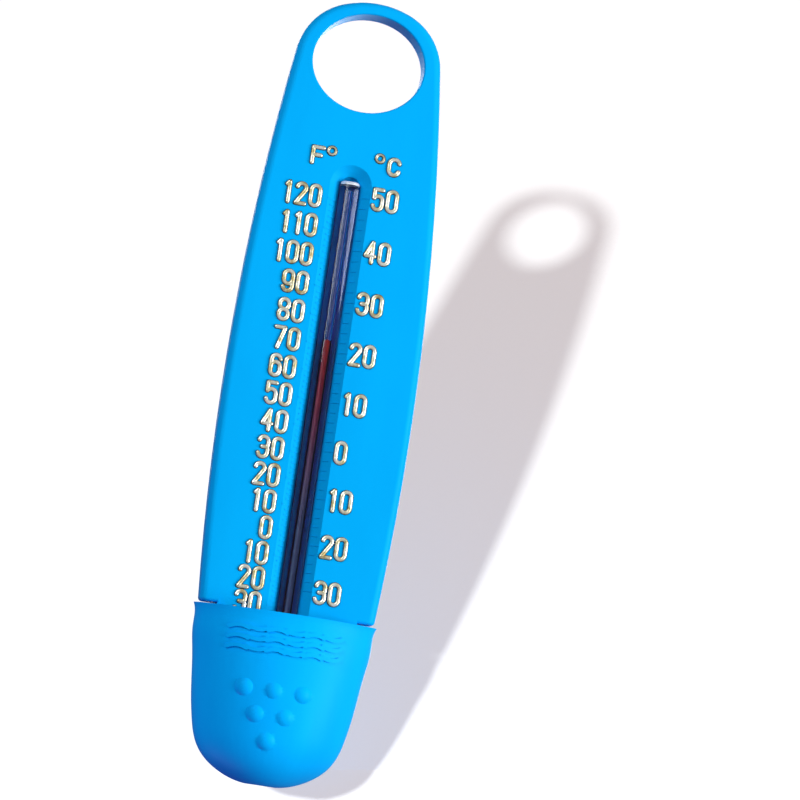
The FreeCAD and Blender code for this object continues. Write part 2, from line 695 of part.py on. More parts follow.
def build_domes(skin):
    """Six raised domes in rows of three, two and one, each a ball sunk into the skin."""
    domes = []
    sink = math.sqrt(dim("dome_radius") ** 2 - dim("dome_base") ** 2)
    for row in range(3):
        z = -dim("dome_drop") - row * dim("dome_row_pitch")
        count = 3 - row
        for place in range(count):
            x = dim("dome_shift") + (place - (count - 1) / 2) * dim("dome_pitch")
            ball = doc.addObject("Part::Sphere", f"dome_{row}_{place}")
            ball.setExpression("Radius", "dims.dome_radius")
            ball.Placement.Base = Vector(x, sink - skin_depth(skin, x, z), z)
            domes.append(ball)
    doc.recompute()
    return domes


def disc(x, z, radius):
    return Part.Face(Part.Wire(Part.makeCircle(radius, Vector(x, 0, z), Vector(0, -1, 0))))


def line_band(start, end, half):
    """A flat band along a straight stroke, in the XZ plane."""
    along = Vector(end[0] - start[0], 0, end[1] - start[1]).normalize()
    beside = Vector(-along.z, 0, along.x) * half
    first, last = Vector(start[0], 0, start[1]), Vector(end[0], 0, end[1])
    corners = [first + beside, last + beside, last - beside, first - beside]
    return Part.Face(Part.makePolygon(corners + corners[:1]))


def on_arc(centre, radius, degrees):
    angle = math.radians(degrees)
    return centre[0] + radius * math.cos(angle), centre[1] + radius * math.sin(angle)


def arc_band(centre, radius, start, end, half):
    """A flat band along an arc stroke, in the XZ plane, from one angle to another in degrees."""

    def edge(size, begin, finish):
        spots = [on_arc(centre, size, begin + (finish - begin) * part / 2) for part in range(3)]
        return Part.Arc(*[Vector(x, 0, z) for x, z in spots]).toShape()

    outer, inner = edge(radius + half, start, end), edge(radius - half, end, start)
    sides = [
        Part.makeLine(outer.Vertexes[-1].Point, inner.Vertexes[0].Point),
        Part.makeLine(inner.Vertexes[-1].Point, outer.Vertexes[0].Point),
    ]
    return Part.Face(Part.Wire([outer, sides[0], inner, sides[1]]))


def ribbon(strokes, width, rise):
    """One raised shape that follows all the strokes, with round ends and joints."""
    bands = []
    for stroke in strokes:
        if len(stroke) == 2:
            bands.append(line_band(*stroke, width / 2))
            ends = stroke
        else:
            centre, radius, start, end = stroke
            bands.append(arc_band(centre, radius, start, end, width / 2))
            ends = (on_arc(centre, radius, start), on_arc(centre, radius, end))
        bands += [disc(x, z, width / 2) for x, z in ends]
    solids = [band.extrude(Vector(0, -rise, 0)) for band in bands]
    return solids[0].multiFuse(solids[1:]).removeSplitter()


def digit_strokes(digit):
    """Centre lines of one numeral: (start, end) is a line, (centre, radius, from, to) an arc."""
    a = (dim("digit_width") - dim("stroke")) / 2
    h = (dim("digit_height") - dim("stroke")) / 2
    top, foot = h - a, a - h
    waist = a / 2
    outlines = {
        0: [((0, top), a, 0, 180), ((0, foot), a, 180, 360), ((a, foot), (a, top)), ((-a, foot), (-a, top))],
        1: [((0, -h), (0, h)), ((0, h), (-a * 0.55, h - a * 0.6))],
        2: [((0, top), a, -30, 170), (on_arc((0, top), a, -30), (-a, -h)), ((-a, -h), (a, -h))],
        3: [
            ((0, top), a, 0, 170),
            ((a, top), (a, waist)),
            ((a - waist, waist), waist, -90, 0),
            ((a - waist, 0), (-waist / 2, 0)),
            ((a - waist, -waist), waist, 0, 90),
            ((a, -waist), (a, foot)),
            ((0, foot), a, -170, 0),
        ],
        4: [
            ((a * 0.45, h), (-a, -h * 0.35)),
            ((-a, -h * 0.35), (a, -h * 0.35)),
            ((a * 0.45, h), (a * 0.45, -h)),
        ],
        5: [
            ((a * 0.9, h), (-a * 0.9, h)),
            ((-a * 0.9, h), (-a * 0.9, waist * 0.6)),
            ((0, -waist * 0.4), a, 0, 145),
            ((a, -waist * 0.4), (a, foot)),
            ((0, foot), a, -170, 0),
        ],
        6: [
            ((0, top), a, 10, 180),
            ((-a, top), (-a, foot)),
            ((0, foot), a, 180, 360),
            ((a, foot), (a, -waist * 0.6)),
            ((0, -waist * 0.6), a, 0, 180),
        ],
        7: [((-a, h), (a, h)), ((a, h), (-a * 0.3, -h))],
        8: [
            ((0, top), a, 0, 180),
            ((0, a), a, 180, 360),
            ((a, a), (a, top)),
            ((-a, a), (-a, top)),
            ((0, -a), a, 0, 180),
            ((0, foot), a, 180, 360),
            ((a, foot), (a, -a)),
            ((-a, foot), (-a, -a)),
        ],
        9: [
            ((0, foot), a, 190, 360),
            ((a, foot), (a, top)),
            ((0, top), a, 0, 180),
            ((-a, waist * 0.6), (-a, top)),
            ((0, waist * 0.6), a, 180, 360),
        ],
    }
    return outlines[digit]


def pitch(left, right):
    """Distance between the middles of two neighbouring digits."""
    return dim("narrow_pitch") if "1" in (left, right) else dim("digit_pitch")


def label_places(text, edge, side):
    """Middle of each digit, with the label's inner edge at a distance left or right."""
    digits = text if side > 0 else text[::-1]
    x = edge + dim("digit_width") / 2
    places = []
    for index, digit in enumerate(digits):
        if index:
            x += pitch(digits[index - 1], digit)
        places.append((int(digit), side * x))
    return places


def raised_stroke(strokes):
    """A raised glyph that stands on the float's face."""
    glyph = ribbon(strokes, dim("stroke"), dim("foil_rise"))
    return glyph.translated(Vector(0, -dim("half_thickness"), 0))


def build_numerals(label, marks, edge, side):
    """One scale's raised numerals. Marks are pairs of the number shown and its level."""
    glyphs = {digit: raised_stroke(digit_strokes(digit)) for digit in range(10)}
    solids = []
    for shown, level in marks:
        for digit, x in label_places(str(abs(shown)), edge, side):
            solids += glyphs[digit].translated(Vector(x, 0, level)).Solids
    numerals = doc.addObject("Part::Feature", label)
    numerals.Label = label
    numerals.Shape = Part.makeCompound(solids)
    return numerals


def build_mark(label, strokes, letter_x, degree_x):
    """A unit mark: a letter and its small degree ring."""
    place = (degree_x, -dim("degree_drop"))
    outer, inner = [disc(*place, dim("degree_radius") + side * dim("degree_stroke") / 2) for side in (1, -1)]
    ring = outer.cut(inner).extrude(Vector(0, -dim("foil_rise"), 0))
    ring.translate(Vector(0, -dim("half_thickness"), 0))
    letter = raised_stroke(strokes).translated(Vector(letter_x, 0, -dim("mark_drop")))
    mark = doc.addObject("Part::Feature", label)
    mark.Label = label
    mark.Shape = Part.makeCompound(letter.Solids + ring.Solids)
    return mark


def build_marks():
    """F with its degree ring on the right, C with its degree ring on the left."""
    a = (dim("mark_width") - dim("stroke")) / 2
    h = (dim("mark_height") - dim("stroke")) / 2
    bend = h - a
    letter_f = [((-a, -h), (-a, h)), ((-a, h), (a, h)), ((-a, 0), (a * 0.6, 0))]
    letter_c = [((0, bend), a, 15, 180), ((-a, bend), (-a, -bend)), ((0, -bend), a, 180, 345)]
    fahrenheit = build_mark(
        "fahrenheit_mark", letter_f, -dim("fahrenheit_letter"), -dim("fahrenheit_degree")
    )
    celsius = build_mark("celsius_mark", letter_c, dim("celsius_letter"), dim("celsius_degree"))
    return [fahrenheit, celsius]


def build_waves():
    """Three wave lines for the cup's raised band, as deep as the cup so that its skin trims them."""
    half, count = dim("relief_half_length"), int(dim("wave_count"))
    span = 2 * half / (2 * count)
    rise = dim("wave_height") / 2
    radius = (span**2 / 4 + rise**2) / (2 * rise)
    sweep = math.degrees(math.asin(span / 2 / radius))
    lines = []
    for row in (-1, 0, 1):
        level = -dim("relief_drop") + row * dim("wave_pitch")
        for bow in range(2 * count):
            x = -half + (bow + 0.5) * span
            up = 1 if bow % 2 == 0 else -1
            centre = (x, level - up * (radius - rise) - up * rise / 2)
            middle = 90 * up
            lines.append((centre, radius, middle - sweep, middle + sweep))
    waves = doc.addObject("Part::Feature", "wave_lines")
    waves.Shape = ribbon(lines, dim("wave_width"), 40)
    return waves


def tube_cylinder(body, kind, name, radius, low, high):
    """A cylinder on the tube's axis, added to or cut from a body."""
    piece = body.newObject(f"PartDesign::{kind}Cylinder", name)
    piece.MapMode = "Deactivated"
    piece.setExpression("Radius", radius)
    piece.setExpression("Height", f"({high}) - ({low})")
    piece.setExpression("Placement.Base.y", "-dims.tube_depth")
    piece.setExpression("Placement.Base.z", low)
    doc.recompute()
    return piece


def rim_at(edge, z, radius):
    """Whether an edge is a circle of a given radius at a given height."""
    return (
        edge.Curve.TypeId == "Part::GeomCircle"
        and abs(edge.Curve.Radius - radius) < 1e-6
        and abs(edge.Curve.Center.z - z) < 1e-6
    )


def build_glass_tube():
    """A thick glass tube with a round top, a bulb at its foot and one sealed bore."""
    body = new_body("glass_tube")
    stem, bulb = dim("tube_radius"), dim("bulb_radius")
    top, waist, foot = -dim("tube_top_drop"), -dim("bulb_top_drop"), -dim("bulb_foot_drop")
    neck = "-dims.bulb_top_drop"
    tube_cylinder(body, "Additive", "stem", "dims.tube_radius", neck, "-dims.tube_top_drop")
    tube_cylinder(body, "Additive", "bulb", "dims.bulb_radius", "-dims.bulb_foot_drop", neck)
    fillet(body, "top_round", lambda e: rim_at(e, top, stem), "dims.tube_end_round")
    fillet(body, "foot_round", lambda e: rim_at(e, foot, bulb), "dims.bulb_round")
    step = "(dims.bulb_radius - dims.tube_radius) * 0.9"
    fillet(body, "waist_round", lambda e: rim_at(e, waist, bulb), step)
    ceiling = "-dims.bulb_top_drop - dims.bulb_wall"
    tube_cylinder(body, "Subtractive", "bore", "dims.bore_radius", f"{ceiling} - 1", "-dims.bore_top_drop")
    tube_cylinder(
        body,
        "Subtractive",
        "reservoir",
        "dims.bulb_radius - dims.bulb_wall",
        "-dims.bulb_foot_drop + dims.bulb_wall",
        ceiling,
    )
    return body


READING = "-(dims.scale_start + dims.scale_rate * (120 - dims.reading)"
READING += " - dims.scale_slowing * (120 - dims.reading)^2)"


def build_spirit():
    """The charge in the bulb, the thread in the bore and the head that is read."""
    charge, thread, head = [new_body(f"spirit_{name}") for name in ("charge", "thread", "meniscus")]
    charge_top = "-dims.bulb_top_drop - dims.bulb_wall - dims.spirit_gap"
    tube_cylinder(
        charge,
        "Additive",
        "filling",
        "dims.bulb_radius - dims.bulb_wall - dims.spirit_gap",
        "-dims.bulb_foot_drop + dims.bulb_wall + dims.spirit_gap",
        charge_top,
    )
    low = f"{READING} - dims.head_height"
    tube_cylinder(thread, "Additive", "column", "dims.bore_radius - dims.spirit_gap", charge_top, low)
    tube_cylinder(head, "Additive", "cap", "dims.bore_radius - dims.head_gap", low, READING)
    crown = dim("bore_radius") - dim("head_gap")
    fillet(head, "cap_round", lambda e: rim_at(e, number(READING), crown), "dims.head_height / 2")
    return [charge, thread, head]


def build_bond(label, top):
    """A dab of adhesive under the tube, between glass and seat."""
    outer, inner = [doc.addObject("Part::Cylinder", f"{label}_{side}") for side in ("outer", "inner")]
    outer.setExpression("Radius", "dims.seat_radius - 0.02")
    inner.setExpression("Radius", "dims.tube_radius + 0.02")
    for piece in (outer, inner):
        piece.setExpression("Height", "dims.bond_length")
        piece.setExpression("Placement.Base.y", "-dims.tube_depth")
        piece.setExpression("Placement.Base.z", f"-dims.{top} - dims.bond_length")
    sleeve = build_cut(f"{label}_sleeve", outer, inner)
    block = build_box(
        f"{label}_block",
        ("-dims.bond_half_width", "-dims.tube_depth", f"-dims.{top} - dims.bond_length"),
        ("dims.bond_half_width", "dims.half_thickness", f"-dims.{top}"),
    )
    return build_common(label, sleeve, block)


def build_ballast():
    """A pair of steel slugs that stand on the chamber floors, behind the face wall."""
    floor = "-dims.chamber_floor_drop + dims.spirit_gap"
    front = "-dims.half_thickness + dims.face_wall + dims.spirit_gap"
    slugs = []
    for side, x in (("right", "dims.ballast_inner"), ("left", "-dims.ballast_inner - dims.ballast_width")):
        low = (x, front, floor)
        high = (
            f"({x}) + dims.ballast_width",
            f"({front}) + dims.ballast_thickness",
            f"({floor}) + dims.ballast_length",
        )
        slugs.append(build_box(f"{side}_slug", low, high))
    pair = doc.addObject("Part::Compound", "ballast_slugs")
    pair.Label = "ballast_slugs"
    pair.Links = slugs
    doc.recompute()
    return pair


def build_all():
    """Every sub-part, in the order that it goes together."""
    fahrenheit = [(shown, mark_level(shown)) for shown in range(-30, 121, 10)]
    celsius = [(shown, mark_level(shown * 1.8 + 32)) for shown in range(-30, 51, 10)]
    return [
        build_fuse("front_shell", [build_front_shell(), build_ticks()]),
        build_rear_cover(),
        build_cup(),
        build_glass_tube(),
        *build_spirit(),
        build_bond("upper_tube_bond", "upper_bond_drop"),
        build_bond("lower_tube_bond", "lower_bond_drop"),
        build_ballast(),
        build_numerals("fahrenheit_numerals", fahrenheit, dim("fahrenheit_edge"), -1),
        build_numerals("celsius_numerals", celsius, dim("celsius_edge"), 1),
        *build_marks(),
    ]


def check(subparts):
    """Stops unless every object computed and every sub-part is a valid shape."""
    doc.recompute()
    failed = [item.Name for item in doc.Objects if {"Invalid", "Error"} & set(item.State)]
    failed += [part.Label for part in subparts if part.Shape.isNull() or not part.Shape.isValid()]
    if failed:
        raise RuntimeError(f"these did not compute: {failed}")


def write(subparts):
    os.makedirs("parts", exist_ok=True)
    for part in subparts:
        part.Shape.exportStep(f"parts/{part.Label}.step")
        print(part.Label, len(part.Shape.Solids), round(part.Shape.Volume, 2))


subparts = build_all()
check(subparts)
write(subparts)
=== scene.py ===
import math

import bmesh
import bpy
from mathutils import Matrix, Vector


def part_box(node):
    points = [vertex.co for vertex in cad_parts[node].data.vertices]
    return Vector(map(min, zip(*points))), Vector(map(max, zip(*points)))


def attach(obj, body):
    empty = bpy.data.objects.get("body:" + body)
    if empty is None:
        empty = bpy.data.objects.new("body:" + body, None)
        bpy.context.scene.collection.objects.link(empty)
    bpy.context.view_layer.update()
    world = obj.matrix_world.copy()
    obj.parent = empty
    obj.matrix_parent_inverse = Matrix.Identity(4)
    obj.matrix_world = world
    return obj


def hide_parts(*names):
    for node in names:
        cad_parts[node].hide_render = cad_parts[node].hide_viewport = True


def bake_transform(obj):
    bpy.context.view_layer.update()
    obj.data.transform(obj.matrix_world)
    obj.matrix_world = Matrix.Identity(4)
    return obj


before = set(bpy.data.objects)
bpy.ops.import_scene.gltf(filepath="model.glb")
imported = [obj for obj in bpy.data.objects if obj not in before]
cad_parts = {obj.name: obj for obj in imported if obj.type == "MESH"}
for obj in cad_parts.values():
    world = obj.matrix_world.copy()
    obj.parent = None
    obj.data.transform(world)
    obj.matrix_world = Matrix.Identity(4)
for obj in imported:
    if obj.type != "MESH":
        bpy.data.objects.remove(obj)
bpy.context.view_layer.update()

MM = 0.001
FACE = -5.5  # the float's front face, in mm
TUBE_AXIS = Vector((0, -2.4 * MM, 0))
# Painted shade: the darkest violet, deep in the tube's seat.
GROOVE_SHADE_DARK = (0.05, 0.05, 0.32)


# ---------------------------------------------------------------- materials


class Finish:
    """A node material with short calls for the nodes that the finishes share."""

    def __init__(self, name):
        self.material = bpy.data.materials.new(name)
        self.material.use_nodes = True
        self.tree = self.material.node_tree
        self.shader = self.tree.nodes["Principled BSDF"]
        self.place = self.add("ShaderNodeTexCoord").outputs["Object"]

    def add(self, kind, **settings):
        node = self.tree.nodes.new(kind)
        for key, value in settings.items():
            setattr(node, key, value)
        return node

    def join(self, source, target):
        self.tree.links.new(source, target)

    def set(self, **values):
        for key, value in values.items():
            self.shader.inputs[key.replace("_", " ")].default_value = value

    def stretched(self, scale):
        """Object coordinates, scaled per axis."""
        mapping = self.add("ShaderNodeMapping")
        mapping.inputs["Scale"].default_value = scale
        self.join(self.place, mapping.inputs["Vector"])
        return mapping.outputs["Vector"]

    def noise(self, scale, detail=3.0, roughness=0.5, place=None):
        node = self.add("ShaderNodeTexNoise")
        node.inputs["Scale"].default_value = scale
        node.inputs["Detail"].default_value = detail
        node.inputs["Roughness"].default_value = roughness
        self.join(place or self.place, node.inputs["Vector"])
        return node.outputs["Fac"]

    def ramp(self, value, *stops):
        """A colour ramp. Stops are pairs of a position and a colour or a grey level."""
        node = self.add("ShaderNodeValToRGB")
        elements = node.color_ramp.elements
        while len(elements) < len(stops):
            elements.new(0.5)
        for element, (position, colour) in zip(elements, stops):
            element.position = position
            element.color = (colour,) * 3 + (1,) if isinstance(colour, float) else (*colour, 1)
        self.join(value, node.inputs["Fac"])
        return node.outputs["Color"]

    def span(self, value, low, high, start, end):
        """A value's range mapped to another range, clamped."""
        node = self.add("ShaderNodeMapRange")
        for key, number in (("From Min", low), ("From Max", high), ("To Min", start), ("To Max", end)):
            node.inputs[key].default_value = number
        self.join(value, node.inputs["Value"])
        return node.outputs["Result"]

    def mix(self, factor, first, second, blend="MIX"):
        """A colour mix. Each input is a socket or a constant."""
        node = self.add("ShaderNodeMix", data_type="RGBA", blend_type=blend)
        for index, value in ((0, factor), (6, first), (7, second)):
            if isinstance(value, bpy.types.NodeSocket):
                self.join(value, node.inputs[index])
            else:
                node.inputs[index].default_value = value if index == 0 else (*value, 1)
        return node.outputs[2]

    def product(self, first, *others):
        for value in others:
            node = self.add("ShaderNodeMath", operation="MULTIPLY")
            self.join(first, node.inputs[0])
            self.join(value, node.inputs[1])
            first = node.outputs["Value"]
        return first

    def bump(self, *layers):
        """Bump from pairs of a height socket and its depth in metres."""
        normal = None
        for height, depth in layers:
            node = self.add("ShaderNodeBump")
            node.inputs["Strength"].default_value = 1.0
            node.inputs["Distance"].default_value = depth
            self.join(height, node.inputs["Height"])
            if normal:
                self.join(normal, node.inputs["Normal"])
            normal = node.outputs["Normal"]
        self.join(normal, self.shader.inputs["Normal"])


def moulded_blue(name, light, deep, gloss, seat_shade_colour=None):
    """Injection-moulded azure plastic: faint flow marks, fine moulded grain, dust-dulled patches.

    A seat colour is painted shade: it darkens the plastic deep in the tube's seat, below the tube's top.
    """
    finish = Finish(name)
    flow = finish.noise(1.0, 4.0, 0.55, finish.stretched((38, 38, 9)))
    colour = finish.ramp(flow, (0.32, deep), (0.62, light))
    if seat_shade_colour:
        # Painted shade in the tube's seat: inside the seat, deep in it and below the tube's top, the
        # plastic turns a darker violet blue.
        spot = finish.add("ShaderNodeSeparateXYZ")
        finish.join(finish.place, spot.inputs["Vector"])
        across = finish.add("ShaderNodeMath", operation="ABSOLUTE")
        finish.join(spot.outputs["X"], across.inputs[0])
        inside = finish.span(across.outputs["Value"], 0.0031, 0.0038, 1.0, 0.0)
        sunk = finish.span(spot.outputs["Y"], -0.0042, -0.0018, 0.0, 1.0)
        below = finish.span(spot.outputs["Z"], -0.0400, -0.0388, 1.0, 0.0)
        seat = finish.product(inside, sunk, below)
        grain = finish.noise(1.0, 3.0, 0.6, finish.stretched((900, 900, 12)))
        seat_shade_blend = finish.mix(finish.span(grain, 0.4, 0.62, 0.0, 1.0), seat_shade_colour, GROOVE_SHADE_DARK)
        colour = finish.mix(seat, colour, seat_shade_blend)
    specks = finish.noise(900, 2.0)
    finish.join(
        finish.mix(finish.span(specks, 0.66, 0.74, 0.0, 0.12), colour, deep),
        finish.shader.inputs["Base Color"],
    )
    patches = finish.noise(55, 5.0, 0.6)
    finish.join(finish.span(patches, 0.3, 0.7, gloss, gloss + 0.1), finish.shader.inputs["Roughness"])
    finish.bump((finish.noise(2600, 2.0), 0.000006), (finish.noise(170, 3.0), 0.00003))
    finish.set(Specular_IOR_Level=0.25, IOR=1.3, Specular_Tint=(0.02, 0.55, 1.0, 1))
    return finish.material


def pale_foil():
    """Hot-stamped champagne foil, pale on the crown of each bead, with near-black painted shade at each
    bead's foot where it meets the face.
    """
    finish = Finish("pale_foil")
    spot = finish.add("ShaderNodeSeparateXYZ")
    finish.join(finish.place, spot.inputs["Vector"])
    wear = finish.noise(420, 4.0, 0.6)
    tint = finish.ramp(
        wear, (0.34, (0.44, 0.34, 0.14)), (0.46, (0.66, 0.62, 0.42)), (0.60, (0.86, 0.85, 0.76))
    )
    # Painted shade: the bead darkens to near black towards the face it stands on.
    foot = finish.span(spot.outputs["Y"], -0.00602, -0.00584, 0.0, 1.0)
    finish.join(finish.mix(foot, tint, (0.045, 0.035, 0.02)), finish.shader.inputs["Base Color"])
    finish.join(finish.span(wear, 0.35, 0.7, 0.42, 0.26), finish.shader.inputs["Roughness"])
    finish.bump((finish.noise(900, 3.0), 0.00003))
    finish.set(Metallic=0.55, IOR=1.5)
    return finish.material


def tube_glass():
    """Clear drawn glass, with faint draw lines along the tube."""
    finish = Finish("tube_glass")
    lines = finish.noise(1.0, 2.0, 0.5, finish.stretched((1500, 1500, 4)))
    finish.bump((lines, 0.000004))
    finish.join(finish.span(lines, 0.3, 0.7, 0.0, 0.03), finish.shader.inputs["Roughness"])
    finish.set(
        Transmission_Weight=1.0, IOR=1.47, Specular_IOR_Level=0.3, Base_Color=(0.80, 0.84, 0.98, 1)
    )
    return finish.material


def frosted_glass():
    """Painted glint: a white, grainy and only just see-through ring that stands in for the glints on the
    tube's top corners.
    """
    finish = Finish("frosted_glass")
    grain = finish.noise(2400, 3.0)
    finish.join(
        finish.ramp(grain, (0.35, (0.62, 0.72, 0.90)), (0.6, (0.97, 0.98, 1.0))),
        finish.shader.inputs["Base Color"],
    )
    finish.bump((grain, 0.00003))
    finish.set(Transmission_Weight=0.35, Roughness=0.35, IOR=1.47)
    return finish.material


def red_spirit():
    """Dyed spirit: a bright top that turns magenta and then grey-blue further down the column.

    The column's sides are painted nearly black: painted shade for where a thick glass wall bends the
    light away.
    """
    finish = Finish("red_spirit")
    spot = finish.add("ShaderNodeSeparateXYZ")
    finish.join(finish.place, spot.inputs["Vector"])
    level = finish.span(spot.outputs["Z"], -0.2, -0.088, 0.0, 1.0)
    streaks = finish.noise(1.0, 3.0, 0.5, finish.stretched((1400, 1400, 60)))
    fade = finish.ramp(
        level,
        (0.0, (0.10, 0.16, 0.30)),
        (0.45, (0.14, 0.18, 0.30)),
        (0.64, (0.28, 0.12, 0.20)),
        (0.8, (0.50, 0.05, 0.08)),
        (0.95, (0.80, 0.05, 0.04)),
    )
    body = finish.mix(finish.span(streaks, 0.4, 0.7, 0.0, 0.45), fade, (0.10, 0.012, 0.05))
    # Painted shade: the column darkens to near black towards its sides.
    across = finish.add("ShaderNodeMath", operation="ABSOLUTE")
    finish.join(spot.outputs["X"], across.inputs[0])
    sides = finish.span(across.outputs["Value"], 0.00055, 0.00078, 0.0, 1.0)
    finish.join(finish.mix(sides, body, (0.02, 0.004, 0.02)), finish.shader.inputs["Base Color"])
    finish.bump((streaks, 0.00002))
    finish.set(Roughness=0.3, IOR=1.36)
    return finish.material


def bulb_spirit():
    """The deep red charge in the bulb, with a faint swirl."""
    finish = Finish("bulb_spirit")
    swirl = finish.noise(420, 4.0, 0.6)
    finish.join(
        finish.ramp(swirl, (0.3, (0.42, 0.01, 0.015)), (0.7, (0.70, 0.03, 0.03))),
        finish.shader.inputs["Base Color"],
    )
    finish.bump((swirl, 0.00002))
    finish.set(Roughness=0.2, IOR=1.36)
    return finish.material


def cured_resin():
    """Clear adhesive that takes the colour of the seat under it, with faint flow lines."""
    finish = Finish("cured_resin")
    flow = finish.noise(1.0, 2.0, 0.5, finish.stretched((600, 600, 60)))
    finish.join(
        finish.ramp(flow, (0.3, (0.90, 0.94, 0.99)), (0.7, (0.97, 0.98, 1.0))),
        finish.shader.inputs["Base Color"],
    )
    finish.bump((flow, 0.000004))
    finish.set(Roughness=0.03, Transmission_Weight=1.0, IOR=1.06)
    return finish.material


def cut_steel():
    """Zinc-plated bar with fine cutting lines and spangle."""
    finish = Finish("cut_steel")
    grain = finish.noise(1.0, 4.0, 0.6, finish.stretched((60, 60, 1400)))
    finish.join(
        finish.ramp(grain, (0.3, (0.34, 0.35, 0.37)), (0.7, (0.58, 0.59, 0.61))),
        finish.shader.inputs["Base Color"],
    )
    finish.join(finish.span(grain, 0.2, 0.8, 0.28, 0.5), finish.shader.inputs["Roughness"])
    finish.bump((grain, 0.00003))
    finish.set(Metallic=1.0)
    return finish.material


def studio_paper():
    """Pale sweep of studio paper, with a faint tooth. It isn't seen from behind."""
    finish = Finish("studio_paper")
    tooth = finish.noise(700, 3.0)
    finish.join(
        finish.mix(finish.span(tooth, 0.3, 0.7, 0.0, 0.2), (0.99, 0.99, 0.99), (0.96, 0.96, 0.96)),
        finish.shader.inputs["Base Color"],
    )
    finish.bump((tooth, 0.00003))
    finish.set(Roughness=0.9)
    behind = finish.add("ShaderNodeNewGeometry").outputs["Backfacing"]
    clear = finish.add("ShaderNodeBsdfTransparent").outputs["BSDF"]
    switch = finish.add("ShaderNodeMixShader")
    finish.join(behind, switch.inputs["Fac"])
    finish.join(finish.shader.outputs["BSDF"], switch.inputs[1])
    finish.join(clear, switch.inputs[2])
    finish.join(switch.outputs["Shader"], finish.tree.nodes["Material Output"].inputs["Surface"])
    return finish.material


# The float's last colour is painted shade for the tube's seat.
FLOAT_BLUE = moulded_blue(
    "float_blue", (0.0012, 0.37, 0.81), (0.0010, 0.34, 0.77), 0.36, seat_shade_colour=(0.03, 0.17, 0.66)
)
COVER_BLUE = moulded_blue("cover_blue", (0.0012, 0.38, 0.85), (0.0010, 0.34, 0.80), 0.42)
CUP_BLUE = moulded_blue("cup_blue", (0.0012, 0.40, 0.92), (0.0010, 0.35, 0.86), 0.34)
FOIL = pale_foil()
GLASS = tube_glass()
END_GLINT = frosted_glass()
SPIRIT = red_spirit()
CHARGE = bulb_spirit()
RESIN = cured_resin()
STEEL = cut_steel()


# ---------------------------------------------------------------- making pieces


def keep(shape, name, body, material, slot, *nodes):
    """Turns a bmesh into a finished piece that rides on a body and stands for CAD nodes."""
    mesh = bpy.data.meshes.new(name)
    shape.to_mesh(mesh)
    shape.free()
    piece = bpy.data.objects.new(name, mesh)
    bpy.context.scene.collection.objects.link(piece)
    mesh.materials.append(material)
    for face in mesh.polygons:
        face.use_smooth = True
    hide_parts(*nodes)
    if body:
        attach(piece, body)
    return piece


def ease(piece, degrees=32):
    """Smooth shading that keeps creases sharp and broad faces flat."""
    shape = bmesh.new()
    shape.from_mesh(piece.data)
    limit = math.radians(degrees)
    for edge in shape.edges:
        edge.smooth = edge.is_manifold and edge.calc_face_angle(0) < limit
    shape.to_mesh(piece.data)
    shape.free()
    even = piece.modifiers.new("even_faces", "WEIGHTED_NORMAL")
    even.mode = "FACE_AREA"
    even.keep_sharp = True
    return piece


def moulding(node, name, body, material, slot):
    """A moulded shell: the engineered solid welded into one skin."""
    shape = bmesh.new()
    shape.from_mesh(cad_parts[node].data)
    bmesh.ops.remove_doubles(shape, verts=shape.verts, dist=0.002 * MM)
    return ease(keep(shape, name, body, material, slot, node))


def turned(profile, steps=48):
    """A solid of revolution about the tube's axis. The profile is pairs of radius and height in mm."""
    shape = bmesh.new()
    points = [shape.verts.new(TUBE_AXIS + Vector((r, 0, z)) * MM) for r, z in profile]
    for first, second in zip(points, points[1:]):
        shape.edges.new((first, second))
    bmesh.ops.spin(
        shape,
        geom=shape.verts[:] + shape.edges[:],
        cent=TUBE_AXIS,
        axis=(0, 0, 1),
        angle=math.tau,
        steps=steps,
        use_merge=True,
    )
    bmesh.ops.remove_doubles(shape, verts=shape.verts, dist=0.0005 * MM)
    bmesh.ops.recalc_face_normals(shape, faces=shape.faces)
    return shape


def rounded(centre, radius, start, end, steps=6):
    """Profile points along a rounded corner."""
    angles = [math.radians(start + (end - start) * step / steps) for step in range(steps + 1)]
    return [(centre[0] + radius * math.cos(a), centre[1] + radius * math.sin(a)) for a in angles]


# ---------------------------------------------------------------- the float and the cup

moulding("front_shell", "float_front", "float", FLOAT_BLUE, "float_plastic")
moulding("rear_cover", "float_back", "float", COVER_BLUE, "cover_plastic")
moulding("scoop_cup", "scoop", "scoop", CUP_BLUE, "cup_plastic")


# ---------------------------------------------------------------- tube and spirit

# Heights and radii in mm. The spirit is a little wider than the bore and the bulb's hollow, so
# that the glass magnifies it with no gap of air.
TUBE_TOP, TUBE_RADIUS = -38.9, 3.1
TOP_CORNER = (2.4, -39.6)
BORE_TOP, BORE_RADIUS = -41.5, 0.95
BULB_ROOF, BULB_FLOOR, BULB_HOLLOW = -200.8, -213.2, 3.3
COLUMN_RADIUS, CHARGE_RADIUS = 1.0, 3.34

tube_shape = turned(
    [(0, TUBE_TOP)]
    + rounded(TOP_CORNER, 0.7, 90, 0)
    + [(TUBE_RADIUS, -199.1)]
    + rounded((3.2, -200.9), 0.9, 90, 0)
    + rounded((1.5, -211.4), 2.6, 0, -90)
    + [(0, -214)]
)
bore_shape = turned(
    [(0, BORE_TOP)]
    + rounded((0.55, -41.9), 0.4, 90, 0)
    + [(BORE_RADIUS, BULB_ROOF), (BULB_HOLLOW, BULB_ROOF), (BULB_HOLLOW, BULB_FLOOR), (0, BULB_FLOOR)]
)
bmesh.ops.reverse_faces(bore_shape, faces=bore_shape.faces)
bore_mesh = bpy.data.meshes.new("bore")
bore_shape.to_mesh(bore_mesh)
bore_shape.free()
tube_shape.from_mesh(bore_mesh)
ease(keep(tube_shape, "tube", "float", GLASS, "tube_glass", "glass_tube"))

